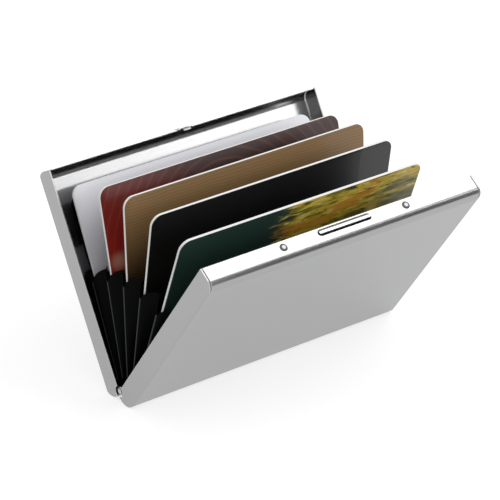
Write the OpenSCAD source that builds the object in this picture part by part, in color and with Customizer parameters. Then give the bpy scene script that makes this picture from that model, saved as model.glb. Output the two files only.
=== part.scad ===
// Hinged steel card case with an accordion of six pockets, standing open as a V.
// Millimetres. X runs along the hinge, Z is up, and the case stands on z = 0
// with the hinge line over the origin. The rear shell leans to +Y, the front shell to -Y.

/* [Cards] */
// Length of a card
card_length = 85.6; // [85:0.1:86]
// Height of a card as it stands
card_height = 53.98; // [53.5:0.01:54.5]
// Thickness of a card
card_t = 0.76; // [0.5:0.01:0.84]
// Corner radius of a card
card_corner_r = 3.18; // [2.88:0.01:3.48]

/* [Case] */
// Room from a card's end to the case's outer face
end_room = 5.2; // [4:0.1:10]
// What the shut case's height has over a card's
head_room = 12.02; // [11:0.01:18]
// Depth of one shell, from its rim to its outer face
shell_depth = 6.4; // [6:0.1:9]
// Thickness of the steel sheet
sheet = 0.4; // [0.3:0.05:0.5]
// Outer radius of the bend along the top
top_bend_r = 3; // [1.5:0.1:3.2]
// Outer radius of the bend along the spine
spine_bend_r = 4; // [3:0.1:4.4]
// Outer radius of the bend from the plate to an end wall
end_bend_r = 0.8; // [0.6:0.1:1.2]
// Open seam beside each folded corner
corner_seam = 0.3; // [0.15:0.05:0.5]
// Gap between the two rims when the case is shut
rim_gap = 0.1; // [0.05:0.05:0.3]
// Angle between the two shells as the case stands
open_angle = 64.2; // [50:0.1:76]

/* [Hinge] */
// Radius of the hinge wire
pin_r = 0.75; // [0.6:0.05:0.9]
// Running clearance around the hinge wire
pin_clearance = 0.05; // [0.02:0.01:0.1]
// How far each end of the wire stops inside the end wall's face
pin_recess = 0.3; // [0.1:0.1:1]
// Rolled knuckles along the hinge, shared by the two shells in turn
knuckle_count = 7; // [5:2:11]
// Gap between neighbouring knuckles
knuckle_gap = 0.2; // [0.1:0.05:0.5]
// Gap from a knuckle to the cut back edge of the other shell
knuckle_notch = 0.2; // [0.1:0.05:0.4]
// Radius of the notch in each end wall round the hinge wire
end_notch_r = 1.65; // [1.6:0.05:2]

/* [Latch] */
// Offset of the latch from the middle of the case
latch_shift = 0.5; // [-4:0.1:4]
// Length of the press bar
bar_length = 18.3; // [14:0.1:24]
// Width of the press bar
bar_width = 1.7; // [1:0.1:1.8]
// Height of the press bar over the top wall
bar_proud = 0.45; // [0.3:0.05:0.6]
// Height of the bar's crown
bar_crown = 0.35; // [0.2:0.05:0.4]
// Height of the bar's underside over the wall's inner face
bar_lift = 0.3; // [0.25:0.05:0.35]
// Distance from the front rim to the middle of the bar
bar_inset = 1.55; // [1.5:0.05:2]
// Clearance between the bar and its slot
bar_clearance = 0.15; // [0.1:0.05:0.2]
// Length of each foot under the bar
foot_length = 2; // [1.5:0.1:2.5]
// Distance between the two rivets
rivet_spacing = 43.3; // [36:0.1:48]
// Distance from the front rim to the rivets
rivet_inset = 2.05; // [1.8:0.05:2.2]
// Radius of a rivet's head
rivet_head_r = 1.2; // [0.7:0.05:1.2]
// Height of a rivet's head
rivet_head_h = 0.3; // [0.2:0.05:0.4]
// Radius of a rivet's shank
rivet_shank_r = 0.6; // [0.4:0.05:0.65]
// Clearance around a rivet's shank
rivet_clearance = 0.03; // [0.02:0.01:0.06]
// Thickness of the leaf spring
leaf_t = 0.2; // [0.15:0.05:0.3]
// Width of the leaf spring
leaf_width = 2.6; // [2.4:0.1:3]
// Depth that the middle of the leaf spring is set down by
leaf_drop = 0.65; // [0.6:0.05:0.8]

/* [Catch] */
// Offset of the catch from the middle of the case
catch_shift = -0.6; // [-4:0.1:4]
// Width of the raised tab on the rear rim
tab_width = 4; // [3.6:0.1:6]
// Height of the tab over the top wall
tab_height = 0.35; // [0.25:0.05:0.4]
// Length of the tab, back from the rim
tab_depth = 2.4; // [2:0.1:3]
// Slope of each side of the tab
tab_ramp = 0.35; // [0.2:0.05:0.5]
// Width of the slit on each side of the tab
tab_slit = 0.7; // [0.3:0.1:1]
// Thickness of the hook
hook_t = 0.3; // [0.2:0.05:0.35]
// Length of the hook's barb
barb_length = 0.55; // [0.4:0.05:0.7]
// Height of the barb over the top wall's inner face
barb_height = 0.25; // [0.15:0.05:0.25]
// Gap between the shut hook and the metal it catches
hook_clearance = 0.12; // [0.1:0.01:0.15]

/* [Accordion] */
// Thickness of the plastic film
film = 0.25; // [0.15:0.05:0.3]
// Height of the dividers' top edge over the hinge line
divider_top = 34; // [26:0.5:44]
// Height of the dividers' bottom edge over the hinge line
divider_bottom = 2.2; // [2:0.1:2.4]
// Corner radius of the dividers
divider_corner_r = 2.5; // [1:0.5:6]
// Corner radius of the liners
liner_corner_r = 4.5; // [1:0.5:6]
// Height of the liners' top edge over the hinge line
liner_top = 56.5; // [48:0.5:60]
// Distance from a card's end to the crest of an end fold
crest_margin = 1.6; // [1.4:0.1:1.8]
// Distance from a divider's end to the crest of an end fold
fold_reach = 3.4; // [3:0.1:4]
// How much lower than a divider the crest ends
crest_drop = 3.8; // [2:0.1:6]
// Height of the lowest pocket floor over the hinge line
floor_height = 2.55; // [2.5:0.05:3]
// How much higher than the lowest floor the highest one lies
floor_rise = 1.7; // [1:0.1:1.8]
// Gap between folded plastic and what it meets
film_gap = 0.05; // [0.03:0.01:0.1]

/* [Hidden] */
$fn = 64;

// One overrun serves every cut that has to pass through a face
overrun = 1;

// Number of pockets, each with nodes of its own
pockets = 6;
// Shares of floor_rise by which each pocket's floor is raised, rear pocket first
floor_rise_shares = [0.88, 0.38, 0.05, 0, 0.62, 1];
// Degrees by which each card leans back from the middle of its pocket
card_leans = [1, -0.25, 0.5, 0.15, -0.6];
// Steps along each half of an end fold's curved top edge, and up its height
fold_steps = 4;
fold_rows = 4;

case_length = card_length + 2 * end_room;
case_height = card_height + head_room;

// Hinge
knuckle_bore_r = pin_r + pin_clearance;
knuckle_r = knuckle_bore_r + sheet;
knuckle_span = case_length - 2 * (sheet + corner_seam);
knuckle_pitch = (knuckle_span + knuckle_gap) / knuckle_count;
knuckle_length = knuckle_pitch - knuckle_gap;

// Shells: u is the height over the hinge line, v the depth out from the rims' plane
half_angle = open_angle / 2;
spine_drop = knuckle_r;
top_u = case_height - spine_drop;
wall_u = top_u - sheet;
rim_v = rim_gap / 2;
inner_depth = shell_depth - sheet;
bend_centre_u = spine_bend_r - spine_drop;
bend_centre_v = shell_depth - spine_bend_r;
hinge_height = spine_bend_r - bend_centre_u * cos(half_angle) + bend_centre_v * sin(half_angle);

// Accordion: every divider turns about the hinge line at its own distance from it
panel_offset = inner_depth - film / 2;
pocket_pitch = 2 * panel_offset / pockets;
pocket_angle = open_angle / pockets;
fold_angle = pocket_angle / 2;
crest_x = card_length / 2 + crest_margin;
panel_half = crest_x - fold_reach;
liner_bottom = bend_centre_u + film;

// Latch
leaf_flat_half = bar_length / 2 + foot_length;
leaf_end_half = rivet_spacing / 2 + leaf_width;
leaf_rise_half = rivet_spacing / 2 - leaf_width;
crown_r = (bar_width * bar_width / 4 + bar_crown * bar_crown) / (2 * bar_crown);
slot_width = bar_width + 2 * bar_clearance;
slot_edge = bar_inset - slot_width / 2;

// Catch: the hook fills the flat under the tab's raised middle
hook_width = tab_width - 2 * (sheet + tab_ramp);

function panel_v(k) = panel_offset - k * pocket_pitch;
function panel_tilt(k) = half_angle - k * pocket_angle;
function pocket_floor(k) = floor_height + floor_rise * floor_rise_shares[k - 1];

// Extrudes a profile drawn as depth and height along the hinge
module along_x(length) {
    rotate([90, 0, 90])
        linear_extrude(length, center = true)
            children();
}

// Extrudes an outline drawn as length and height through a thickness
module upright(thickness) {
    rotate([90, 0, 0])
        linear_extrude(thickness, center = true)
            children();
}

// A frame that leans back from upright about the hinge line
module leaning(tilt) {
    translate([0, 0, hinge_height])
        rotate([-tilt, 0, 0])
            children();
}

module in_rear() {
    leaning(half_angle)
        children();
}

module in_front() {
    leaning(-half_angle)
        mirror([0, 1, 0])
            children();
}

// What has to go from the corner of a square, at the origin, to round it
module corner_cut(r) {
    translate([-r, -r])
        difference() {
            square(r + overrun);
            circle(r);
        }
}

module round_top_panel(half, bottom, top, r) {
    difference() {
        translate([-half, bottom])
            square([2 * half, top - bottom]);
        for (side = [0, 1])
            mirror([side, 0])
                translate([half, top])
                    corner_cut(r);
    }
}

// Section through a shell, across the hinge, set in from its outer face
module shell_section(inset, rim) {
    difference() {
        translate([rim, inset - spine_drop])
            square([shell_depth - inset - rim, case_height - 2 * inset]);
        translate([shell_depth - inset, top_u - inset])
            corner_cut(top_bend_r - inset);
        translate([shell_depth - inset, inset - spine_drop])
            mirror([0, 1])
                corner_cut(spine_bend_r - inset);
    }
}

// Plan of a shell, from end wall to end wall, set in from its outer face
module shell_plan(inset) {
    half = case_length / 2 - inset;
    difference() {
        translate([-half, -overrun])
            square([2 * half, shell_depth - inset + overrun]);
        for (side = [0, 1])
            mirror([side, 0])
                translate([half, shell_depth - inset])
                    corner_cut(end_bend_r - inset);
    }
}

module shell_block(inset, rim) {
    intersection() {
        along_x(case_length)
            shell_section(inset, rim);
        translate([0, 0, -spine_drop - overrun])
            linear_extrude(case_height + 2 * overrun)
                shell_plan(inset);
    }
}

// Slots that part the end walls from the top wall and from the spine
module corner_seams() {
    reach = shell_depth + 2 * overrun;
    for (side = [-1, 1])
        translate([side * (case_length - 2 * sheet - corner_seam) / 2, 0, 0])
            along_x(corner_seam) {
                translate([-overrun, top_u - top_bend_r])
                    square([reach, top_bend_r + overrun]);
                translate([-overrun, -spine_drop - overrun])
                    square([reach, spine_bend_r + overrun]);
            }
}

// Notches in the end walls round the ends of the hinge wire
module end_notches() {
    depth = sheet + corner_seam;
    for (side = [-1, 1])
        translate([side * (case_length - depth) / 2, 0, 0])
            along_x(depth + film_gap)
                circle(end_notch_r);
}

module at_knuckle(i) {
    translate([i * knuckle_pitch - (knuckle_span - knuckle_length) / 2, 0, 0])
        children();
}

// The spine's edge, cut back wherever the other shell has a knuckle
module knuckle_notches(first) {
    width = knuckle_length + 2 * knuckle_gap;
    reach = knuckle_r + knuckle_notch;
    for (i = [first : 2 : knuckle_count - 1])
        at_knuckle(i)
            along_x(width)
                translate([-overrun, -spine_drop - overrun])
                    square([reach + overrun, spine_drop + overrun]);
}

module knuckles(first) {
    for (i = [first : 2 : knuckle_count - 1])
        at_knuckle(i)
            along_x(knuckle_length)
                difference() {
                    circle(knuckle_r);
                    circle(knuckle_bore_r);
                }
}

// A folded tray with its own knuckles; first is 0 for the shell that has the outer ones
module folded_shell(first) {
    difference() {
        shell_block(0, rim_v);
        shell_block(sheet, -overrun);
        corner_seams();
        end_notches();
        knuckle_notches(1 - first);
    }
    knuckles(first);
}

// Section of the raised tab, across the rim, set in by the sheet for its hollow
module tab_section(inset) {
    half = tab_width / 2 - inset;
    polygon([
        [-half, -sheet - inset],
        [-half, -inset],
        [tab_ramp - half, tab_height - inset],
        [half - tab_ramp, tab_height - inset],
        [half, -inset],
        [half, -sheet - inset]
    ]);
}

module tab_block(inset, depth) {
    translate([catch_shift, depth / 2, top_u])
        upright(depth)
            tab_section(inset);
}

// Slits that part the raised tab from the rest of the rim
module tab_slits() {
    for (side = [-1, 1])
        translate([catch_shift + side * (tab_width + tab_slit) / 2, tab_depth / 2 - overrun, top_u])
            cube([tab_slit, tab_depth, 2 * sheet + overrun], center = true);
}

module rear_case() {
    color("lightgray")
        in_rear()
            difference() {
                union() {
                    folded_shell(0);
                    translate([0, rim_v, 0])
                        tab_block(0, tab_depth);
                }
                translate([0, -overrun, 0])
                    tab_block(sheet, tab_depth - sheet + overrun);
                tab_slits();
            }
}

// Outline with round ends, along the hinge
module slot_outline(length, width) {
    for (side = [-1, 1])
        translate([side * (length - width) / 2, 0])
            circle(width / 2);
    square([length - width, width], center = true);
}

module at_rivets() {
    for (side = [-1, 1])
        translate([latch_shift + side * rivet_spacing / 2, rivet_inset, top_u])
            children();
}

module front_case() {
    color("lightgray")
        in_front()
            difference() {
                folded_shell(1);
                translate([latch_shift, bar_inset, wall_u - overrun])
                    linear_extrude(sheet + 2 * overrun)
                        slot_outline(bar_length + 2 * bar_clearance, slot_width);
                at_rivets()
                    translate([0, 0, -sheet - overrun])
                        cylinder(h = sheet + 2 * overrun, r = rivet_shank_r + rivet_clearance);
            }
}

module hinge_pin() {
    color("silver")
        in_rear()
            rotate([0, 90, 0])
                cylinder(h = case_length - 2 * pin_recess, r = pin_r, center = true);
}

// Sprung hook: its root sits in the tab, and its barb snaps into the latch's slot
module catch_hook() {
    hollow_top = tab_height - sheet;
    root_end = tab_depth - sheet - film_gap;
    step_end = root_end / 2;
    tongue_top = -sheet - hook_clearance;
    barb_face = slot_edge + rim_v + hook_clearance;
    barb_top = barb_height - sheet;
    color("silver")
        in_rear()
            translate([catch_shift, rim_v, top_u])
                along_x(hook_width)
                    polygon([
                        [root_end, hollow_top],
                        [root_end, hollow_top - hook_t],
                        [step_end, hollow_top - hook_t],
                        [0, tongue_top - hook_t],
                        [-barb_face - barb_length, tongue_top - hook_t],
                        [-barb_face - barb_length, tongue_top],
                        [-barb_face - barb_length / 3, barb_top],
                        [-barb_face, barb_top],
                        [-barb_face, tongue_top],
                        [0, tongue_top],
                        [step_end, hollow_top]
                    ]);
}

// Crowned bar on two feet, with room for the hook's barb between the feet
module latch_bar() {
    side_h = sheet + bar_proud - bar_crown - bar_lift;
    foot_h = leaf_drop + bar_lift;
    foot_x = (bar_length - bar_width - foot_length) / 2;
    color("gainsboro")
        in_front()
            translate([latch_shift, bar_inset, wall_u + bar_lift]) {
                intersection() {
                    linear_extrude(side_h + bar_crown)
                        slot_outline(bar_length, bar_width);
                    union() {
                        along_x(bar_length)
                            translate([0, side_h + bar_crown - crown_r])
                                circle(crown_r);
                        translate([0, 0, side_h / 2])
                            cube([bar_length, bar_width, side_h], center = true);
                    }
                }
                for (side = [-1, 1])
                    translate([side * foot_x, 0, -foot_h / 2])
                        cube([foot_length, bar_width, foot_h], center = true);
            }
}

// The leaf spring's line from end to end, at a depth below the top wall
function leaf_line(depth) = [
    [-leaf_end_half, -depth],
    [-leaf_rise_half, -depth],
    [-leaf_flat_half, -leaf_drop - depth],
    [leaf_flat_half, -leaf_drop - depth],
    [leaf_rise_half, -depth],
    [leaf_end_half, -depth]
];

module latch_spring() {
    leaf_v = slot_edge + leaf_width / 2;
    upper = leaf_line(0);
    lower = leaf_line(leaf_t);
    color("silver")
        in_front()
            difference() {
                translate([latch_shift, leaf_v, wall_u])
                    upright(leaf_width)
                        polygon(concat(upper, [for (i = [5 : -1 : 0]) lower[i]]));
                at_rivets()
                    translate([0, 0, -sheet - leaf_t - overrun])
                        cylinder(h = leaf_t + 2 * overrun, r = rivet_shank_r + rivet_clearance);
            }
}

module latch_rivets() {
    tail_u = -sheet - leaf_t;
    tail_r = (rivet_head_r + rivet_shank_r) / 2;
    color("silver")
        in_front()
            at_rivets()
                rotate_extrude()
                    polygon([
                        [0, rivet_head_h],
                        [rivet_shank_r, rivet_head_h],
                        [rivet_head_r, rivet_head_h / 3],
                        [rivet_head_r, 0],
                        [rivet_shank_r, 0],
                        [rivet_shank_r, tail_u],
                        [tail_r, tail_u],
                        [tail_r, tail_u - leaf_t],
                        [0, tail_u - leaf_t]
                    ]);
}

// Tall end panel of the accordion, stuck to the plate of a shell
module liner() {
    color([0.06, 0.06, 0.07])
        translate([0, panel_offset, 0])
            upright(film)
                round_top_panel(panel_half, liner_bottom, liner_top, liner_corner_r);
}

module rear_liner() {
    in_rear()
        liner();
}

module front_liner() {
    in_front()
        liner();
}

module divider(k) {
    color([0.06, 0.06, 0.07])
        leaning(panel_tilt(k))
            translate([0, panel_v(k), 0])
                upright(film)
                    round_top_panel(panel_half, divider_bottom, divider_top, divider_corner_r);
}

// Depth and height, in a pocket's own frame, of a point at height u on a plane
// that leans by tilt and passes the hinge line at distance v
function on_plane(tilt, v, u) = [
    v * cos(tilt) + u * sin(tilt),
    u * cos(tilt) - v * sin(tilt)
];

// One column of a fold: t runs from -1 at the rear panel over 0 at the crest to 1 at the front panel
function fold_point(k, t, u, inset) =
    let (
        share = abs(t),
        middle = panel_v(k - 0.5),
        rear = on_plane(fold_angle, panel_v(k - 1) - inset, u),
        front = on_plane(-fold_angle, panel_v(k) + inset, u),
        end = t < 0 ? rear : front,
        x = crest_x - inset - share * (fold_reach - inset - film_gap)
    )
    [x, middle + share * (end[0] - middle), end[1]];

function fold_top(t) = divider_top - crest_drop * (1 - sqrt(1 - pow(1 - abs(t), 2)));

// Folded film that closes one end of pocket k, as two flaps that meet in a crest.
// Each column of points climbs the outer face and comes down the inner one.
module end_fold(k) {
    columns = 2 * fold_steps;
    ring = 2 * fold_rows + 2;
    bottom = pocket_floor(k) - film;
    points = [
        for (i = [0 : columns])
            let (t = i / fold_steps - 1)
            each [
                for (j = [0 : ring - 1])
                    let (
                        outer = j <= fold_rows,
                        share = (outer ? j : ring - 1 - j) / fold_rows,
                        u = bottom + share * (fold_top(t) - bottom)
                    )
                    fold_point(k, t, u, outer ? 0 : film / 2)
            ]
    ];
    sides = [
        for (i = [0 : columns - 1])
            for (j = [0 : ring - 1])
                let (
                    a = ring * i + j,
                    b = ring * i + (j + 1) % ring,
                    rear_outer = (i < fold_steps) == (j <= fold_rows)
                )
                each rear_outer
                    ? [[a, a + ring, b], [b, a + ring, b + ring]]
                    : [[a, a + ring, b + ring], [a, b + ring, b]]
    ];
    caps = [
        for (j = [0 : fold_rows - 1])
            let (
                across = ring - 1 - j,
                last = ring * columns
            )
            each [
                [j, j + 1, across - 1],
                [j, across - 1, across],
                [last + across - 1, last + j + 1, last + j],
                [last + across, last + across - 1, last + j]
            ]
    ];
    polyhedron(points = points, faces = concat(sides, caps));
}

// Folded film that closes the bottom of pocket k
module floor_fold(k) {
    under = pocket_floor(k) - film;
    rear = (panel_v(k - 1) - film / 2 + under * sin(fold_angle)) / cos(fold_angle) - film_gap;
    front = (panel_v(k) + film / 2 - under * sin(fold_angle)) / cos(fold_angle) + film_gap;
    translate([-panel_half, front, under])
        cube([2 * panel_half, rear - front, film]);
}

module gusset(k) {
    color([0.09, 0.09, 0.1])
        leaning(panel_tilt(k - 0.5)) {
            for (side = [0, 1])
                mirror([side, 0, 0])
                    end_fold(k);
            floor_fold(k);
        }
}

// What a card's lean would press into the floor of its pocket
function lean_lift(k) = (abs(panel_v(k - 0.5)) + card_t / 2) * abs(sin(card_leans[k - 1]));

module card(k) {
    bottom = pocket_floor(k) + film_gap + lean_lift(k);
    leaning(panel_tilt(k - 0.5) + card_leans[k - 1])
        translate([0, panel_v(k - 0.5), 0])
            upright(card_t)
                difference() {
                    round_top_panel(card_length / 2, bottom, bottom + card_height, card_corner_r);
                    for (side = [0, 1])
                        mirror([side, 0])
                            translate([card_length / 2, bottom])
                                mirror([0, 1])
                                    corner_cut(card_corner_r);
                }
}

module card_1() { color([0.78, 0.78, 0.82]) card(1); }
module card_2() { color([0.38, 0.1, 0.1]) card(2); }
module card_3() { color([0.48, 0.35, 0.2]) card(3); }
module card_4() { color([0.1, 0.1, 0.1]) card(4); }
module card_5() { color([0.5, 0.42, 0.16]) card(5); }

rear_case();
front_case();
hinge_pin();
catch_hook();
latch_bar();
latch_spring();
latch_rivets();
rear_liner();
front_liner();
divider(1);  // divider_1
divider(2);  // divider_2
divider(3);  // divider_3
divider(4);  // divider_4
divider(5);  // divider_5
gusset(1);  // gusset_1
gusset(2);  // gusset_2
gusset(3);  // gusset_3
gusset(4);  // gusset_4
gusset(5);  // gusset_5
gusset(6);  // gusset_6
card_1();
card_2();
card_3();
card_4();
card_5();
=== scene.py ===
# %% [markdown]
# # A hinged steel card case, standing open
# The case is two shallow trays of stainless sheet on one hinge wire. Between them a black plastic
# accordion spreads six pockets like a fan, and five cards stand in it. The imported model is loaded
# first, because it gives every piece its place and size in metres.

# %% Load the frame
import bpy
import math
from mathutils import Matrix, Vector


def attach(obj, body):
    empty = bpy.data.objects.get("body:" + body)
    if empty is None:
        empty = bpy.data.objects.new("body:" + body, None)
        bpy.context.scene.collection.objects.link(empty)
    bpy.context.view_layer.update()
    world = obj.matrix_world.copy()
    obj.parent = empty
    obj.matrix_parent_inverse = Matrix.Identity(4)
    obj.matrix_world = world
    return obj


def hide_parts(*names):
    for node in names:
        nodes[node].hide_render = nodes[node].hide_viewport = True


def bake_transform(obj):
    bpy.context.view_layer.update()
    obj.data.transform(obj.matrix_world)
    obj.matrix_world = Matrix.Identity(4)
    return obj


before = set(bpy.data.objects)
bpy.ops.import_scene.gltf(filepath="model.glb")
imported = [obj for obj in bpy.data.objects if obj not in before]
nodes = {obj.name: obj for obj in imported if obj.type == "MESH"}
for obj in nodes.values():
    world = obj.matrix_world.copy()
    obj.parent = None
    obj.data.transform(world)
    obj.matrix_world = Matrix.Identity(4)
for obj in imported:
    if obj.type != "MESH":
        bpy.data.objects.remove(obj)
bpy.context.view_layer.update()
MM = 0.001

# %% [markdown]
# ## The case's own frame
# Everything in the case turns about the hinge wire. A panel that leans by some angle is easiest to
# model upright, with the hinge wire at the origin, and then to lean and lift into place. One helper
# gives the matrix that does so, and two more give a pocket's lean and its distance from the wire.

# %% The hinge, and the lean of each pocket
HINGE_HEIGHT = 2.9034 * MM
OPEN_ANGLE = 64.2
POCKETS, CARDS = 6, 5
PANEL_OFFSET = 5.875 * MM
PITCH = 2 * PANEL_OFFSET / POCKETS


def leaning(angle):
    """Leans something upright over the hinge by an angle in degrees, to +Y when positive."""
    turn = Matrix.Rotation(math.radians(-angle), 4, "X")
    return Matrix.Translation((0, 0, HINGE_HEIGHT)) @ turn


def pocket_angle(k):
    return OPEN_ANGLE * (0.5 - (k - 0.5) / POCKETS)


def pocket_offset(k):
    return PANEL_OFFSET - (k - 0.5) * PITCH


print("pocket angles:", [round(pocket_angle(k), 2) for k in range(1, POCKETS + 1)])

# %% [markdown]
# ## Tools for modelling
# An operator acts on all that is selected, and loading leaves the CAD nodes selected. So a piece
# starts with nothing selected, and in edit mode its faces, edges or points are selected by a test
# on their place or normal. More helpers make the faces point outwards, put a finished modifier into
# the mesh, and put the piece in its place, so that the object itself ends at the origin, unturned
# and unscaled.

# %% Select, apply and place
NEAR = 0.01 * MM


def start_clean():
    if bpy.context.mode != "OBJECT":
        bpy.ops.object.mode_set(mode="OBJECT")
    bpy.ops.object.select_all(action="DESELECT")


def select(piece, kind, test):
    """In edit mode, selects only the piece's verts, edges or faces that pass a test."""
    modes = {"vertices": "VERT", "edges": "EDGE", "polygons": "FACE"}
    bpy.ops.mesh.select_all(action="DESELECT")
    bpy.ops.mesh.select_mode(type=modes[kind])
    bpy.ops.object.mode_set(mode="OBJECT")
    for item in getattr(piece.data, kind):
        item.select = bool(test(item))
    bpy.ops.object.mode_set(mode="EDIT")


def ends(piece, edge):
    return [piece.data.vertices[i].co for i in edge.vertices]


def point_outwards():
    """In edit mode, makes all faces agree on which side is out."""
    bpy.ops.mesh.select_all(action="SELECT")
    bpy.ops.mesh.normals_make_consistent(inside=False)


def apply_modifier(piece, kind, **settings):
    bpy.context.view_layer.objects.active = piece
    modifier = piece.modifiers.new(kind.title(), kind)
    for name, value in settings.items():
        setattr(modifier, name, value)
    bpy.ops.object.modifier_apply(modifier=modifier.name)


def place(piece, matrix):
    """Moves the piece by a matrix and leaves that in its mesh."""
    start_clean()
    piece.matrix_world = matrix @ piece.matrix_world
    piece.select_set(True)
    bpy.context.view_layer.objects.active = piece
    bpy.ops.object.transform_apply(location=True, rotation=True, scale=True)


def copy_of(piece, name):
    made = piece.copy()
    made.data = piece.data.copy()
    made.name = made.data.name = name
    bpy.context.collection.objects.link(made)
    return made


# %% [markdown]
# ## Colour and nodes
# A colour picked from a picture is in sRGB, while a shader works in linear light, so one function
# turns a hex value into linear. A second one adds a node with its settings and links, which keeps
# each material down to what is special about it. The Mix node's colour sockets share their names
# with others, so they are called by their places.

# %% Helpers for materials
COLOUR_A, COLOUR_B, COLOUR_OUT = 6, 7, 2


def linear(hex_colour):
    values = [int(hex_colour[i:i + 2], 16) / 255 for i in (1, 3, 5)]
    return [v / 12.92 if v <= 0.04045 else ((v + 0.055) / 1.055) ** 2.4 for v in values] + [1.0]


def add_node(tree, kind, inputs=None, **settings):
    made = tree.nodes.new("ShaderNode" + kind)
    for name, value in settings.items():
        setattr(made, name, value)
    for socket, value in (inputs or {}).items():
        if isinstance(value, bpy.types.NodeSocket):
            tree.links.new(value, made.inputs[socket])
        else:
            made.inputs[socket].default_value = value
    return made


def mix(tree, factor, below, above):
    """A colour that goes from below to above as the factor goes from 0 to 1."""
    colours = {"Factor": factor, COLOUR_A: below, COLOUR_B: above}
    return add_node(tree, "Mix", colours, data_type="RGBA").outputs[COLOUR_OUT]


def new_material(name):
    material = bpy.data.materials.new(name)
    material.use_nodes = True
    tree = material.node_tree
    return material, tree, tree.nodes["Principled BSDF"]


# %% [markdown]
# ## Satin stainless sheet
# The shells are cold rolled stainless, about 0.4 mm thick, brushed very finely along the case.
# Brushing leaves scratches about 0.05 mm wide. Those are far too fine to show from here, so the
# grain is drawn at 0.3 mm: it only stirs the roughness and the surface a little. The sheet's cut
# edges are tumbled, which rounds them a little and polishes them. A Bevel node rounds them in the
# shading only. Where it turns the surface, the base colour is painted brighter. That is partly the
# polish of a tumbled edge and partly a painted highlight along every edge. The mesh stays as loaded.

# %% Satin stainless sheet
GRAIN_SCALE = (60, 3300, 3300)
TUMBLED_EDGE = 0.35 * MM
BEVEL_SAMPLES = 6


def satin_stainless():
    material, tree, surface = new_material("stainless_sheet_satin")
    point = add_node(tree, "TexCoord")
    grain = add_node(tree, "Mapping", {"Vector": point.outputs["Object"], "Scale": GRAIN_SCALE})
    lines = add_node(tree, "TexNoise", {"Vector": grain.outputs["Vector"], "Scale": 1.0,
                                        "Detail": 2.0})
    rough = add_node(tree, "MapRange", {"Value": lines.outputs["Fac"],
                                        "To Min": 0.21, "To Max": 0.28})
    rounded = add_node(tree, "Bevel", {"Radius": TUMBLED_EDGE}, samples=BEVEL_SAMPLES)
    bump = add_node(tree, "Bump", {"Height": lines.outputs["Fac"], "Strength": 0.02,
                                   "Distance": 0.05 * MM, "Normal": rounded.outputs["Normal"]})
    mesh = add_node(tree, "NewGeometry")
    turned = add_node(tree, "VectorMath", {0: rounded.outputs["Normal"],
                                           1: mesh.outputs["Normal"]}, operation="DOT_PRODUCT")
    # Painted highlight: the base colour brightens where the Bevel node turns the normal, partly edge
    # polish and partly a bright line drawn along the edges.
    away_from_polish_and_highlight = add_node(tree, "MapRange", {"Value": turned.outputs["Value"],
                                       "From Min": 0.80, "From Max": 0.98})
    shade = mix(tree, away_from_polish_and_highlight.outputs["Result"], linear("#f0f0f0"), linear("#bcbcbd"))
    tree.links.new(shade, surface.inputs["Base Color"])
    tree.links.new(rough.outputs["Result"], surface.inputs["Roughness"])
    tree.links.new(bump.outputs["Normal"], surface.inputs["Normal"])
    surface.inputs["Metallic"].default_value = 1.0
    return material


stainless = satin_stainless()
print("tumbled edges are rounded by", TUMBLED_EDGE / MM, "mm")

# %% [markdown]
# ## Polished and sprung steel
# The hinge wire is brighter than the sheet, because it is drawn and tumbled and not brushed. Spring
# strip is rolled bright and then tempered, which leaves it a little darker. Both keep faint marks
# of about 0.4 mm, which only stir the gloss.

# %% Polished steel and spring strip
BRIGHT = "#d2d1cf"


def bright_steel(name, colour, low, high):
    material, tree, surface = new_material(name)
    point = add_node(tree, "TexCoord")
    marks = add_node(tree, "TexNoise", {"Vector": point.outputs["Object"], "Scale": 2500.0,
                                        "Detail": 3.0})
    rough = add_node(tree, "MapRange", {"Value": marks.outputs["Fac"],
                                        "To Min": low, "To Max": high})
    tree.links.new(rough.outputs["Result"], surface.inputs["Roughness"])
    surface.inputs["Base Color"].default_value = linear(colour)
    surface.inputs["Metallic"].default_value = 1.0
    return material


polished = bright_steel("steel_wire_tumbled", BRIGHT, 0.10, 0.18)
spring_strip = bright_steel("spring_steel_strip", "#a9a8a6", 0.18, 0.30)

# %% [markdown]
# The press bar and the rivets are blackened steel, and thumbs have polished their tops back to
# metal. The surface's own direction sets the colour: bright on top, and dark on the flanks and rims.
# That dark is partly the blackening and partly painted shade, which draws their outlines. A Bevel
# node rounds it over first, so that the dark creeps a little way onto the top. The rivets lie lower
# than the bar, so thumbs reach them less and they stay greyer.

# %% Bar and rivets, bright only on top
HALF_OPEN = math.radians(OPEN_ANGLE / 2)
TOP_NORMAL = (0.0, -math.sin(HALF_OPEN), math.cos(HALF_OPEN))


def worn_steel_with_painted_shade(name, dark, bright, edge, dark_below, bright_above):
    """Blackened steel, bright where the cosine of its slope to the top is high enough; its dark
    flanks carry painted shade too.
    """
    material = bright_steel(name, bright, 0.12, 0.25)
    tree = material.node_tree
    rounded = add_node(tree, "Bevel", {"Radius": edge}, samples=BEVEL_SAMPLES)
    direction = add_node(tree, "VectorTransform", {"Vector": rounded.outputs["Normal"]},
                         vector_type="NORMAL", convert_from="WORLD", convert_to="OBJECT")
    slope = add_node(tree, "VectorMath", {0: direction.outputs["Vector"], 1: TOP_NORMAL},
                     operation="DOT_PRODUCT")
    # Painted shade: flanks and rims turn dark by their direction, drawing outlines on top of the
    # blackening.
    worn_and_shaded = add_node(tree, "MapRange", {"Value": slope.outputs["Value"],
                                       "From Min": dark_below, "From Max": bright_above})
    shade = mix(tree, worn_and_shaded.outputs["Result"], linear(dark), linear(bright))
    tree.links.new(shade, tree.nodes["Principled BSDF"].inputs["Base Color"])
    return material


bar_worn_and_shaded = worn_steel_with_painted_shade("steel_bar_worn_and_shaded", "#3b3b3c", BRIGHT, 0.5 * MM, 0.86, 0.97)
rivets_worn_and_shaded = worn_steel_with_painted_shade("steel_rivet_worn_and_shaded", "#6a6a6b", "#8c8c8d", 0.15 * MM, 0.955, 0.995)
print("the bar and rivets face", [round(v, 3) for v in TOP_NORMAL])
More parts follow.
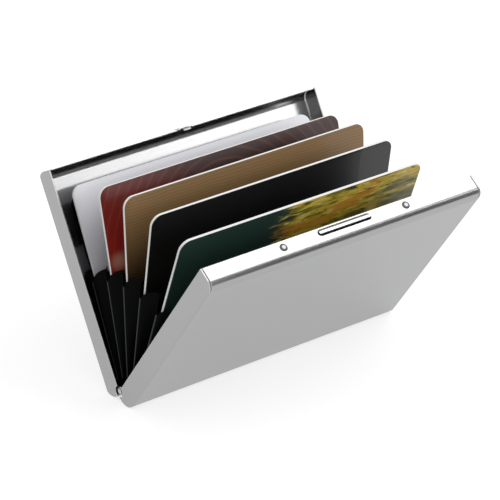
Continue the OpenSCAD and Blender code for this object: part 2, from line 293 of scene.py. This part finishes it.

# %% [markdown]
# ## Black film
# The accordion is calendered polypropylene film, 0.25 mm thick. It is smooth with a soft sheen and a
# faint orange peel from the rollers, about 0.6 mm across. Where the film is creased it whitens, and
# its crest catches light. So the creases get the same film in a dull grey, which is part stress
# whitening and part painted highlight.

# %% Black film, plain and creased
def black_film(name, colour, low, high):
    material, tree, surface = new_material(name)
    point = add_node(tree, "TexCoord")
    peel = add_node(tree, "TexNoise", {"Vector": point.outputs["Object"], "Scale": 1600.0,
                                       "Detail": 2.0})
    rough = add_node(tree, "MapRange", {"Value": peel.outputs["Fac"],
                                        "To Min": low, "To Max": high})
    bump = add_node(tree, "Bump", {"Height": peel.outputs["Fac"], "Strength": 0.08,
                                   "Distance": 0.1 * MM})
    tree.links.new(rough.outputs["Result"], surface.inputs["Roughness"])
    tree.links.new(bump.outputs["Normal"], surface.inputs["Normal"])
    surface.inputs["Base Color"].default_value = linear(colour)
    surface.inputs["IOR"].default_value = 1.49
    surface.inputs["Specular IOR Level"].default_value = 0.05
    return material


film = black_film("polypropylene_film_black", "#060707", 0.40, 0.52)
# The creases' grey is stress whitening together with a painted highlight along each crest.
crease = black_film("polypropylene_film_creased_highlight", "#4c4e4e", 0.45, 0.60)

# %% [markdown]
# The shells, the latch, the hinge and the dividers have the right shape already, so they stay and
# only get their finish. The leaf spring under the press bar needs more, because it bends.

# %% Finish the nodes that keep their shape
finish = {"rear_case": stainless, "front_case": stainless, "hinge_pin": polished,
          "catch_hook": spring_strip, "latch_bar": bar_worn_and_shaded, "latch_rivets": rivets_worn_and_shaded,
          "rear_liner": film, "front_liner": film}
finish.update({"divider_%d" % k: film for k in range(1, POCKETS)})
for name, material in finish.items():
    nodes[name].data.materials.clear()
    nodes[name].data.materials.append(material)
print("nodes that keep their shape:", len(finish))

# %% [markdown]
# ## The leaf spring
# The leaf is riveted to the front shell near its ends, and its middle carries the press bar. When
# the bar is pressed, the sloped part on each side bends and the middle goes down with the bar. Here
# the imported leaf is copied for each side and cut in the middle, which leaves a left and a right
# half, and the whole leaf is hidden.

# %% The leaf spring in two halves
LATCH_X, SLOPE_OUTER, SLOPE_INNER = 0.5 * MM, 19.05 * MM, 11.15 * MM

for side, side_name in ((-1, "left"), (1, "right")):
    start_clean()
    leaf_mesh = nodes["latch_spring"].data.copy()
    half_leaf = bpy.data.objects.new("leaf_spring_" + side_name, leaf_mesh)
    bpy.context.collection.objects.link(half_leaf)
    half_leaf.select_set(True)
    bpy.context.view_layer.objects.active = half_leaf
    bpy.ops.object.mode_set(mode="EDIT")
    bpy.ops.mesh.select_all(action="SELECT")
    bpy.ops.mesh.remove_doubles(threshold=0.1 * NEAR)
    bpy.ops.mesh.bisect(plane_co=(LATCH_X, 0, 0), plane_no=(side, 0, 0),
                        use_fill=True, clear_inner=True)
    bpy.ops.object.mode_set(mode="OBJECT")
    leaf_mesh.materials.clear()
    leaf_mesh.materials.append(spring_strip)
    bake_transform(half_leaf)
    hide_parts("latch_spring")
    print(half_leaf.name, len(leaf_mesh.polygons), "faces")

# %% [markdown]
# ## One end of a pocket
# Each pocket is closed at its ends by folded film. A flat strip runs from one stiff divider to the
# next, and a crease down its middle lets it stand out as a crest. It could be a lofted shape, but
# the real one is cut flat and then folded, so this one is too: a flat flap is added, its top edge
# is cut to a curve by shortening it column by column, and then each column is turned about the
# hinge wire by its share of the fold.

# %% The flap, cut flat
CREST_X, FOLD_REACH = 44.4 * MM, 3.4 * MM
FOLD_BOTTOM, DIVIDER_TOP, CREST_DROP = 2.3 * MM, 34 * MM, 3.8 * MM
FOLD_ANGLE = OPEN_ANGLE / POCKETS / 2
FILM = 0.25 * MM
COLUMNS, ROWS = 8, 12

start_clean()
flap_height = DIVIDER_TOP - FOLD_BOTTOM
flap_middle = (CREST_X - FOLD_REACH / 2, 0, FOLD_BOTTOM + flap_height / 2)
bpy.ops.mesh.primitive_grid_add(x_subdivisions=COLUMNS, y_subdivisions=ROWS, size=1,
                                location=flap_middle, rotation=(math.radians(90), 0, 0))
fold_end = bpy.context.object
fold_end.name = "fold_end"
fold_end.scale = (FOLD_REACH, flap_height, 1)
bpy.ops.object.transform_apply(location=True, rotation=True, scale=True)
flap_size = [round(v / MM, 2) for v in fold_end.dimensions]
print("flap:", len(fold_end.data.polygons), "faces,", flap_size)

# %% [markdown]
# The crest ends lower than the dividers, on a quarter round, so each column is shortened about its
# foot. Turned about the hinge wire in proportion to its distance from the crest, the flap gets the
# same slight twist as bent film: nearly closed at the foot and wide at the top. The crest is kept
# round, so that the ends of a card still fit inside it when the case is shut.

# %% Shorten and turn the flap's columns
CREST_ROUNDNESS = 0.5

bpy.ops.object.mode_set(mode="EDIT")
for column in range(COLUMNS + 1):
    share = column / COLUMNS
    x = CREST_X - FOLD_REACH * share
    drop = CREST_DROP * (1 - math.sqrt(1 - (1 - share) ** 2))
    select(fold_end, "vertices", lambda v: abs(v.co.x - x) < NEAR)
    bpy.ops.transform.resize(value=(1, 1, 1 - drop / flap_height),
                             center_override=(x, 0, FOLD_BOTTOM))
    bpy.ops.transform.translate(value=(0, share ** CREST_ROUNDNESS * PITCH / 2, 0))
    bpy.ops.transform.rotate(value=math.radians(share * FOLD_ANGLE), orient_axis="X",
                             center_override=(x, 0, 0))
bpy.ops.object.mode_set(mode="OBJECT")
widest = max(v.co.y for v in fold_end.data.vertices)
print("widest point of the flap from the crease:", round(widest / MM, 2), "mm")

# %% [markdown]
# One flap is half a pocket's end. Mirroring it gives the other half, and their shared line is the
# crest, which is bevelled because film folds round a radius of about 0.3 mm. Only then does
# Solidify give the film its thickness, a little less than the stiff dividers have, so that the
# folds still fit when the case is shut. The far end of the pocket is the same shape turned round
# by a mirror.

# %% Mirror the flap, round the crest and thicken the film
CREASE_WIDTH = 0.28 * MM
FOLDED_FILM = 0.6 * FILM

apply_modifier(fold_end, "MIRROR", use_axis=(False, True, False), merge_threshold=NEAR)
bpy.ops.object.mode_set(mode="EDIT")
select(fold_end, "edges", lambda e: all(abs(p.y) < NEAR / 2 for p in ends(fold_end, e)))
bpy.ops.mesh.bevel(offset=CREASE_WIDTH, segments=3)
point_outwards()
bpy.ops.object.mode_set(mode="OBJECT")
outwards = sum(face.normal.x * face.area for face in fold_end.data.polygons)
if outwards < 0:
    fold_end.data.flip_normals()
for material in (film, crease):
    fold_end.data.materials.append(material)
for face in fold_end.data.polygons:
    beside_crest = abs(face.center.y) < 0.7 * CREASE_WIDTH
    face.material_index = int(beside_crest and face.center.x > CREST_X - CREASE_WIDTH)
apply_modifier(fold_end, "SOLIDIFY", thickness=FOLDED_FILM, offset=-1)
print("crest faces:", sum(face.material_index for face in fold_end.data.polygons))

# %% The two ends of a pocket
far_end = copy_of(fold_end, "far_end")
place(far_end, Matrix.Scale(-1, 4, (1, 0, 0)))
bpy.ops.object.mode_set(mode="EDIT")
point_outwards()
bpy.ops.object.mode_set(mode="OBJECT")
fold_end.select_set(True)
bpy.context.view_layer.objects.active = fold_end
bpy.ops.object.join()
pocket_ends = bpy.context.object
bpy.ops.object.shade_smooth_by_angle(angle=math.radians(30))
print("one pocket's ends:", len(pocket_ends.data.polygons), "faces")

# %% [markdown]
# ## The pocket floors
# The same film closes each pocket below. Under a card's edge it sags a little, so the floor is a
# narrow strip whose rows are lowered towards its middle. It is made 2 wide, so that each pocket can
# scale it by its own half width. The floors lie at slightly different heights, as folded film does,
# and that is why the cards' tops don't step up evenly.

# %% A pocket's floor
PANEL_HALF = 41 * MM
FLOOR_ROWS = 6
FLOOR_SAG = 0.12 * MM
LOWEST_FLOOR, FLOOR_RANGE = 2.55 * MM, 1.7 * MM
FLOOR_HEIGHTS = [LOWEST_FLOOR + FLOOR_RANGE * share for share in (0.88, 0.38, 0.05, 0, 0.62, 1)]

start_clean()
bpy.ops.mesh.primitive_grid_add(x_subdivisions=1, y_subdivisions=FLOOR_ROWS, size=1)
pocket_floor = bpy.context.object
pocket_floor.name = "pocket_floor"
pocket_floor.scale = (2 * PANEL_HALF, 2, 1)
bpy.ops.object.transform_apply(location=False, rotation=False, scale=True)
bpy.ops.object.mode_set(mode="EDIT")
for row in range(1, FLOOR_ROWS):
    y = 2 * row / FLOOR_ROWS - 1
    select(pocket_floor, "vertices", lambda v: abs(v.co.y - y) < 0.01)
    bpy.ops.transform.translate(value=(0, 0, -FLOOR_SAG * (1 - y * y)))
bpy.ops.object.mode_set(mode="OBJECT")
pocket_floor.data.materials.append(film)
lowest = min(v.co.z for v in pocket_floor.data.vertices)
print("floor rows:", FLOOR_ROWS, "sag:", round(lowest / MM, 3), "mm")

# %% [markdown]
# ## The accordion, pocket by pocket
# The two ends and the floor are copied into each pocket. In the case the ends fold as it shuts, and
# a point's share of the turn has to equal its divider's. So the length of a blend is worked out from
# where the dividers are, and printed. The film itself is only placed.

# %% Copy the film into the six pockets
ENDS_HALF_WIDTH = 4.1 * MM


def blend_place(share):
    """Where along a blend, from 0 to 1, a point turns by this share of the joint."""
    return 0.5 - math.sin(math.asin(1 - 2 * share) / 3)


def fold_with_dividers(piece, k, half_width):
    """Works out the length of a blend for pocket k's film, half_width from its middle, that would
    turn it with its dividers; the film is only baked in place.
    """
    first, last = blend_place((k - 1) / POCKETS), blend_place(k / POCKETS)
    length = 2 * half_width / (last - first)
    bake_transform(piece)
    return length


for k in range(1, POCKETS + 1):
    lean = leaning(pocket_angle(k))
    film_ends = copy_of(pocket_ends, "pocket_ends_%d" % k)
    place(film_ends, lean @ Matrix.Translation((0, pocket_offset(k), 0)))
    length = fold_with_dividers(film_ends, k, ENDS_HALF_WIDTH)

    floor_k = copy_of(pocket_floor, "pocket_floor_%d" % k)
    height = FLOOR_HEIGHTS[k - 1]
    to_divider = PITCH / 2 + height * math.sin(math.radians(FOLD_ANGLE))
    narrowed = Matrix.Diagonal((1, to_divider - FILM, 1, 1))
    place(floor_k, lean @ Matrix.Translation((0, pocket_offset(k), height)) @ narrowed)
    apply_modifier(floor_k, "SOLIDIFY", thickness=FILM, offset=-1)
    fold_with_dividers(floor_k, k, to_divider)

    for piece in (film_ends, floor_k):
        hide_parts("gusset_%d" % k)
    print("pocket", k, "blends over", round(length / MM, 1), "mm")

for pattern in (pocket_ends, pocket_floor):
    bpy.data.objects.remove(pattern)

# %% [markdown]
# ## The cards
# A payment card is three layers of PVC pressed together: a white core between two printed faces. It
# is die cut, so the white core shows all round as a bright line, and that line is what draws each
# card's outline here. A box of the standard size is added, its four corner edges are bevelled to
# the standard radius, and its rim gets a hairline bevel. The faces are then told apart by their
# normals.

# %% A blank card
CARD_LENGTH, CARD_HEIGHT, CARD_T, CORNER_R = 85.6 * MM, 53.98 * MM, 0.76 * MM, 3.18 * MM
HAIRLINE = 0.05 * MM
FLAT_ON = 0.95

start_clean()
bpy.ops.mesh.primitive_cube_add(size=1)
blank = bpy.context.object
blank.name = "card_blank"
blank.scale = (CARD_LENGTH, CARD_T, CARD_HEIGHT)
bpy.ops.object.transform_apply(location=False, rotation=False, scale=True)
bpy.ops.object.mode_set(mode="EDIT")
select(blank, "edges", lambda e: abs(ends(blank, e)[0].y - ends(blank, e)[1].y) > 0.5 * CARD_T)
bpy.ops.mesh.bevel(offset=CORNER_R, segments=10)
select(blank, "polygons", lambda face: abs(face.normal.y) > FLAT_ON)
bpy.ops.mesh.region_to_loop()
bpy.ops.mesh.bevel(offset=HAIRLINE, segments=2)
bpy.ops.object.mode_set(mode="OBJECT")
bpy.ops.object.shade_smooth_by_angle(angle=math.radians(30))
blank_size = [round(v / MM, 2) for v in blank.dimensions]
print("blank card:", blank_size, len(blank.data.polygons), "faces")

# %% [markdown]
# ## Printed faces
# The print is under a clear laminate, which gives a soft gloss with a faint orange peel and the odd
# smudge. Each card has its own artwork, all of it plain: a glow, fine lines, bands or brushed
# colour. A pattern reads Object coordinates, and a Mapping node in texture mode turns them into the
# card's own millimetres, with the origin at the middle of the card.

# %% Where each card stands
CARD_LEANS = (1, -0.25, 0.5, 0.15, -0.6)
FOOT_GAP = 0.05 * MM


def card_matrix(k):
    lean, side = CARD_LEANS[k - 1], pocket_offset(k)
    lift = (abs(side) + CARD_T / 2) * abs(math.sin(math.radians(lean)))
    middle = FLOOR_HEIGHTS[k - 1] + FOOT_GAP + lift + CARD_HEIGHT / 2
    return leaning(pocket_angle(k) + lean) @ Matrix.Translation((0, side, middle))


tops = [(card_matrix(k) @ Vector((0, 0, CARD_HEIGHT / 2))).z for k in range(1, CARDS + 1)]
print("card tops:", [round(top / MM, 1) for top in tops])


# %% A laminated print
def laminated(name, k, paint):
    """A printed face of card k; paint turns the card's own millimetres into a colour."""
    material, tree, surface = new_material(name)
    point = add_node(tree, "TexCoord")
    matrix = card_matrix(k)
    here = add_node(tree, "Mapping", {"Vector": point.outputs["Object"],
                                      "Location": matrix.translation,
                                      "Rotation": matrix.to_euler(),
                                      "Scale": (MM, MM, MM)}, vector_type="TEXTURE")
    mm = here.outputs["Vector"]
    tree.links.new(paint(tree, mm), surface.inputs["Base Color"])
    smudge = add_node(tree, "TexNoise", {"Vector": mm, "Scale": 0.08, "Detail": 3.0})
    rough = add_node(tree, "MapRange", {"Value": smudge.outputs["Fac"],
                                        "To Min": 0.30, "To Max": 0.40})
    tree.links.new(rough.outputs["Result"], surface.inputs["Roughness"])
    peel = add_node(tree, "TexNoise", {"Vector": mm, "Scale": 1.2, "Detail": 1.0})
    bump = add_node(tree, "Bump", {"Height": peel.outputs["Fac"], "Strength": 0.05,
                                   "Distance": 0.1 * MM})
    tree.links.new(bump.outputs["Normal"], surface.inputs["Normal"])
    surface.inputs["IOR"].default_value = 1.53
    return material


# %% [markdown]
# The first card is pearl grey, with a broad, hardly visible wave as on pearl laminate. It is pale at
# its top edge and a shade darker below. That darkening is painted shade, for the shade that the
# pocket and the cards around it cast on the card's lower part. The second is maroon. A red glow
# rises from its lower left corner with a small pale flare in it, and thin rings of a slightly paler
# red cross the card.

# %% Pearl and maroon prints
def pearl(tree, mm):
    axes = add_node(tree, "SeparateXYZ", {"Vector": mm})
    # Painted shade: below its upper part the card turns darker, as if shaded inside the pocket.
    darker_towards_foot = add_node(tree, "MapRange", {"Value": axes.outputs["Z"], "From Min": 2.0,
                                       "From Max": 26.0}, interpolation_type="SMOOTHSTEP")
    waves = add_node(tree, "TexWave", {"Vector": mm, "Scale": 0.02, "Distortion": 3.0},
                     bands_direction="DIAGONAL")
    soft = mix(tree, waves.outputs["Fac"], linear("#cdccd2"), linear("#d4d3da"))
    return mix(tree, darker_towards_foot.outputs["Result"], soft, linear("#f1f1f7"))


def maroon(tree, mm):
    corner = add_node(tree, "VectorMath", {0: mm, 1: (-40.0, 0.0, -4.0)}, operation="DISTANCE")
    glow = add_node(tree, "MapRange", {"Value": corner.outputs["Value"],
                                       "From Min": 4.0, "From Max": 46.0,
                                       "To Min": 1.0, "To Max": 0.0},
                    interpolation_type="SMOOTHSTEP")
    rings = add_node(tree, "TexWave", {"Vector": mm, "Scale": 0.11, "Distortion": 1.5,
                                       "Detail": 0.0}, wave_type="RINGS", rings_direction="Y")
    base = mix(tree, glow.outputs["Result"], linear("#3c2320"), linear("#9c2019"))
    thin = add_node(tree, "MapRange", {"Value": rings.outputs["Fac"],
                                       "From Min": 0.75, "To Max": 0.15})
    ringed = mix(tree, thin.outputs["Result"], base, linear("#a8604a"))
    spot = add_node(tree, "VectorMath", {0: mm, 1: (-39.5, 0.0, 5.0)}, operation="DISTANCE")
    flare = add_node(tree, "MapRange", {"Value": spot.outputs["Value"],
                                        "From Min": 0.5, "From Max": 4.0,
                                        "To Min": 0.6, "To Max": 0.0},
                     interpolation_type="SMOOTHSTEP")
    return mix(tree, flare.outputs["Result"], ringed, linear("#d9a58c"))


# %% [markdown]
# The third card is bronze with fine engine-turned lines, which fade out towards its foot. The
# fourth is black with a faint linen weave, and a band of dark grey closes its right end.

# %% Bronze and black prints
BAND_START = 31.0


def bronze(tree, mm):
    axes = add_node(tree, "SeparateXYZ", {"Vector": mm})
    darker_towards_foot = add_node(tree, "MapRange", {"Value": axes.outputs["Z"], "From Min": 0.0,
                                       "From Max": 22.0}, interpolation_type="SMOOTHSTEP")
    turned = add_node(tree, "TexWave", {"Vector": mm, "Scale": 0.33, "Distortion": 6.0,
                                        "Detail": 1.0, "Detail Scale": 0.3},
                      bands_direction="Z")
    ground = mix(tree, darker_towards_foot.outputs["Result"], linear("#2f1c0e"), linear("#8f7049"))
    lines = add_node(tree, "MapRange", {"Value": turned.outputs["Fac"],
                                        "From Min": 0.6, "To Max": 0.45})
    return mix(tree, lines.outputs["Result"], ground, linear("#6b4f30"))


def linen_black(tree, mm):
    axes = add_node(tree, "SeparateXYZ", {"Vector": mm})
    band = add_node(tree, "MapRange", {"Value": axes.outputs["X"], "From Min": BAND_START,
                                       "From Max": BAND_START + 0.4})
    warp = add_node(tree, "TexWave", {"Vector": mm, "Scale": 0.5}, bands_direction="X")
    weft = add_node(tree, "TexWave", {"Vector": mm, "Scale": 0.5}, bands_direction="Z")
    weave = add_node(tree, "Math", {0: warp.outputs["Fac"], 1: weft.outputs["Fac"]},
                     operation="MULTIPLY")
    cloth = mix(tree, weave.outputs["Value"], linear("#0d0d0d"), linear("#191919"))
    return mix(tree, band.outputs["Result"], cloth, linear("#2f2f31"))


# %% [markdown]
# The fifth card is deep green on its left third. From there brushed colour runs up to the right, in
# olive and gold with strokes of orange, about 6 mm long and 1.3 mm wide.

# %% Brushed green and gold print
STROKE_TURN, STROKE_SCALE = (0.0, 0.45, 0.0), (0.16, 1.0, 0.75)
STROKE_COLOURS = ((0.34, "#4a5020"), (0.42, "#a0902c"), (0.50, "#ccb03a"), (0.58, "#dcc458"),
                  (0.68, "#eadf9c"))
RAGGEDNESS = 26.0


def brushed_gold(tree, mm):
    axes = add_node(tree, "SeparateXYZ", {"Vector": mm})
    turned = add_node(tree, "Mapping", {"Vector": mm, "Rotation": STROKE_TURN,
                                        "Scale": STROKE_SCALE})
    strokes = add_node(tree, "TexNoise", {"Vector": turned.outputs["Vector"], "Scale": 1.0,
                                          "Detail": 4.0, "Roughness": 0.6, "Distortion": 1.0})
    tones = add_node(tree, "TexNoise", {"Vector": turned.outputs["Vector"], "Scale": 0.22,
                                        "Detail": 3.0, "Distortion": 1.0})
    ragged = add_node(tree, "Math", {0: strokes.outputs["Fac"], 1: RAGGEDNESS,
                                     2: axes.outputs["X"]}, operation="MULTIPLY_ADD")
    painted = add_node(tree, "MapRange", {"Value": ragged.outputs["Value"], "From Min": 4.0,
                                          "From Max": 12.0}, interpolation_type="SMOOTHSTEP")
    ramp = add_node(tree, "ValToRGB", {"Fac": strokes.outputs["Fac"]})
    ramp.color_ramp.elements.remove(ramp.color_ramp.elements[1])
    for position, colour in STROKE_COLOURS:
        stop = ramp.color_ramp.elements.new(position)
        stop.color = linear(colour)
    warm = add_node(tree, "MapRange", {"Value": tones.outputs["Fac"], "From Min": 0.52,
                                       "From Max": 0.60, "To Max": 0.75})
    green = add_node(tree, "MapRange", {"Value": tones.outputs["Fac"],
                                        "From Min": 0.36, "From Max": 0.44,
                                        "To Min": 0.8, "To Max": 0.0})
    leaves = mix(tree, green.outputs["Result"], ramp.outputs["Color"], linear("#35451f"))
    gold = mix(tree, warm.outputs["Result"], leaves, linear("#d08a2c"))
    return mix(tree, painted.outputs["Result"], linear("#283e38"), gold)


# %% [markdown]
# ## Card backs and core
# The backs are plain: white on the pearl card and dark on the others. Near the top of each runs the
# black magnetic stripe, 12.7 mm high, and below it lies a pale strip to sign on. The core is bare
# PVC, matt where the die cut it.

# %% Backs and core
STRIPE_Z, STRIPE_HALF_HEIGHT = 16.5, 6.35
STRIP_X, STRIP_HALF_LENGTH, STRIP_Z, STRIP_HALF_HEIGHT = 8.0, 30.0, 1.5, 4.0


def card_back(name, k, colour):
    def within(tree, value, middle, half):
        return add_node(tree, "Math", {0: value, 1: middle, 2: half}, operation="COMPARE")

    def paint(tree, mm):
        axes = add_node(tree, "SeparateXYZ", {"Vector": mm})
        stripe = within(tree, axes.outputs["Z"], STRIPE_Z, STRIPE_HALF_HEIGHT)
        high = within(tree, axes.outputs["Z"], STRIP_Z, STRIP_HALF_HEIGHT)
        long = within(tree, axes.outputs["X"], STRIP_X, STRIP_HALF_LENGTH)
        strip = add_node(tree, "Math", {0: high.outputs["Value"], 1: long.outputs["Value"]},
                         operation="MULTIPLY")
        hatch = add_node(tree, "TexWave", {"Vector": mm, "Scale": 0.35},
                         bands_direction="DIAGONAL")
        paper = mix(tree, hatch.outputs["Fac"], linear("#d8d8d4"), linear("#c3c6c9"))
        striped = mix(tree, stripe.outputs["Value"], linear(colour), linear("#0e0b0a"))
        return mix(tree, strip.outputs["Value"], striped, paper)

    return laminated(name, k, paint)


core, tree, surface = new_material("pvc_core_white")
point = add_node(tree, "TexCoord")
cut = add_node(tree, "TexNoise", {"Vector": point.outputs["Object"], "Scale": 3000.0,
                                  "Detail": 2.0})
rough = add_node(tree, "MapRange", {"Value": cut.outputs["Fac"], "To Min": 0.45, "To Max": 0.60})
tree.links.new(rough.outputs["Result"], surface.inputs["Roughness"])
surface.inputs["Base Color"].default_value = linear("#f4f4f1")

# %% Print and stand the five cards
FRONTS = (("pearl", pearl, "#f6f6fa"), ("maroon", maroon, "#3a1f1d"),
          ("bronze", bronze, "#4a3622"), ("black", linen_black, "#1b1b1c"),
          ("gold", brushed_gold, "#2f3320"))

for k, (name, paint, back) in enumerate(FRONTS, 1):
    card = copy_of(blank, "printed_card_%d" % k)
    card.data.materials.append(core)
    card.data.materials.append(laminated("card_front_" + name, k, paint))
    card.data.materials.append(card_back("card_back_" + name, k, back))
    for face in card.data.polygons:
        facing_y = face.normal.y
        face.material_index = 1 if facing_y < -FLAT_ON else 2 if facing_y > FLAT_ON else 0
    place(card, card_matrix(k))
    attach(card, "card_%d" % k)
    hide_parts("card_%d" % k)
bpy.data.objects.remove(blank)
print("cards:", [name for name, paint, back in FRONTS])

# %% [markdown]
# ## The camera
# The camera was fitted to the photographed case's straight edges: it stands 0.85 m away, 40 degrees
# round to the left and 28.5 degrees up, with a long lens and a slight roll.

# %% Camera
AIM = Vector((-0.3, 3.0, 31.9)) * MM
DISTANCE = 0.8519
AZIMUTH, ELEVATION, ROLL = (math.radians(v) for v in (39.645, 28.497, 2.525))
LENS, SENSOR = 216.2, 36

across = math.cos(ELEVATION)
away = Vector((-math.sin(AZIMUTH) * across, -math.cos(AZIMUTH) * across, math.sin(ELEVATION)))
bpy.ops.object.camera_add(location=AIM + away * DISTANCE)
camera = bpy.context.object
camera.name = "camera"
looking = away.to_track_quat("Z", "Y").to_matrix()
camera.rotation_euler = (looking @ Matrix.Rotation(ROLL, 3, "Z")).to_euler()
camera.data.lens = LENS
camera.data.sensor_width = SENSOR
camera.data.clip_start = 0.01
bpy.context.scene.camera = camera
print("camera at", [round(v, 3) for v in camera.location])

# %% [markdown]
# ## Floor and light
# The floor is a white sheet. The camera, and the metal that mirrors it, see it a little brighter
# than it is lit, so that it runs out to plain white and still keeps the soft shadow. The room is
# white as well, and two softboxes give the top walls and the inside of the rear shell their white.

# %% Floor
PAPER_GLOW, MIRRORED_GLOW = 0.64, 0.56
PAPER_WHITE, MIRRORED_WHITE = 0.5, 0.3


def seen_by(tree):
    """Two outputs: 1 for the camera's own rays, and 1 for rays that reach it by metal or glass."""
    ray = add_node(tree, "LightPath")
    mirrored = add_node(tree, "Math", {0: ray.outputs["Is Glossy Ray"],
                                       1: ray.outputs["Is Transmission Ray"]},
                        operation="MAXIMUM")
    return ray.outputs["Is Camera Ray"], mirrored.outputs["Value"]


bpy.ops.mesh.primitive_plane_add(size=8, location=(0, 0, 0))
floor = bpy.context.object
floor.name = "floor"
paper, tree, surface = new_material("floor_paper_white")
by_camera, by_metal = seen_by(tree)
in_metal = add_node(tree, "Math", {0: by_metal, 1: MIRRORED_GLOW}, operation="MULTIPLY")
extra = add_node(tree, "Math", {0: by_camera, 1: PAPER_GLOW, 2: in_metal.outputs["Value"]},
                 operation="MULTIPLY_ADD")
tone = add_node(tree, "MapRange", {"Value": by_metal,
                                   "To Min": PAPER_WHITE, "To Max": MIRRORED_WHITE})
tree.links.new(extra.outputs["Value"], surface.inputs["Emission Strength"])
tree.links.new(tone.outputs["Result"], surface.inputs["Base Color"])
surface.inputs["Emission Color"].default_value = (1, 1, 1, 1)
surface.inputs["Roughness"].default_value = 0.9
surface.inputs["Specular IOR Level"].default_value = 0.1
floor.data.materials.append(paper)

# %% World
ROOM_LIGHT, ROOM_SEEN = 0.75, 1.0

world = bpy.data.worlds.new("studio")
bpy.context.scene.world = world
world.use_nodes = True
tree = world.node_tree
by_camera, by_metal = seen_by(tree)
seen = add_node(tree, "Math", {0: by_camera, 1: by_metal}, operation="MAXIMUM")
level = add_node(tree, "MapRange", {"Value": seen.outputs["Value"],
                                    "To Min": ROOM_LIGHT, "To Max": ROOM_SEEN})
tree.links.new(level.outputs["Result"], tree.nodes["Background"].inputs["Strength"])
tree.nodes["Background"].inputs["Color"].default_value = (1, 1, 1, 1)


# %% Softboxes
def facing(towards):
    """The turn of something that stands in a direction from the case and looks back at it."""
    return Vector(towards).to_track_quat("Z", "Y").to_euler()


def softbox(name, towards, distance, size, radiance):
    bpy.ops.object.light_add(type="AREA", location=Vector(towards).normalized() * distance)
    lamp = bpy.context.object
    lamp.name = name
    lamp.rotation_euler = facing(towards)
    lamp.data.shape = "RECTANGLE"
    lamp.data.size, lamp.data.size_y = size
    lamp.data.energy = radiance * math.pi * size[0] * size[1]


softbox("softbox_overhead", towards=(0.55, -0.25, 0.79), distance=1.1, size=(0.72, 0.42),
        radiance=2.4)
softbox("softbox_front_right", towards=(0.55, -0.725, 0.40), distance=1.2, size=(0.95, 0.34),
        radiance=2.6)

# %% [markdown]
# Polished metal in a white room has no outline. A photographer stands black cards just outside the
# picture, and their reflections draw the dark lines along the bends. Here one fills the gap between
# the softboxes, and a low one stands at the front right. A grey one beside the camera keeps the
# right end wall from turning white. They are seen in reflections only, and take no light from the
# case.

# %% Black and grey cards
UPPER_GAP, BESIDE_CAMERA = Vector((0.55, -0.63, 0.575)), Vector((-0.55, -0.725, 0.403))


def studio_card(name, colour):
    material, tree, surface = new_material(name)
    surface.inputs["Base Color"].default_value = linear(colour)
    surface.inputs["Roughness"].default_value = 0.9
    return material


def flag(name, towards, place_at, size, material):
    bpy.ops.mesh.primitive_plane_add(size=1, location=place_at, rotation=facing(towards))
    card = bpy.context.object
    card.name = name
    card.scale = (size[0], size[1], 1)
    card.data.materials.append(material)
    card.visible_camera = card.visible_diffuse = False
    card.visible_transmission = card.visible_shadow = False


black_card = studio_card("studio_card_black", "#0b0b0b")
grey_card = studio_card("studio_card_grey", "#8c8c8c")
flag("flag_upper", UPPER_GAP, UPPER_GAP.normalized() * 0.98, (0.82, 0.12), black_card)
flag("flag_low", (0, -1, 0), (0.105, -0.151, 0.088), (0.19, 0.096), black_card)
flag("flag_camera", BESIDE_CAMERA, BESIDE_CAMERA, (0.5, 0.5), grey_card)

# %% Finish
bpy.context.scene.view_settings.view_transform = "Standard"
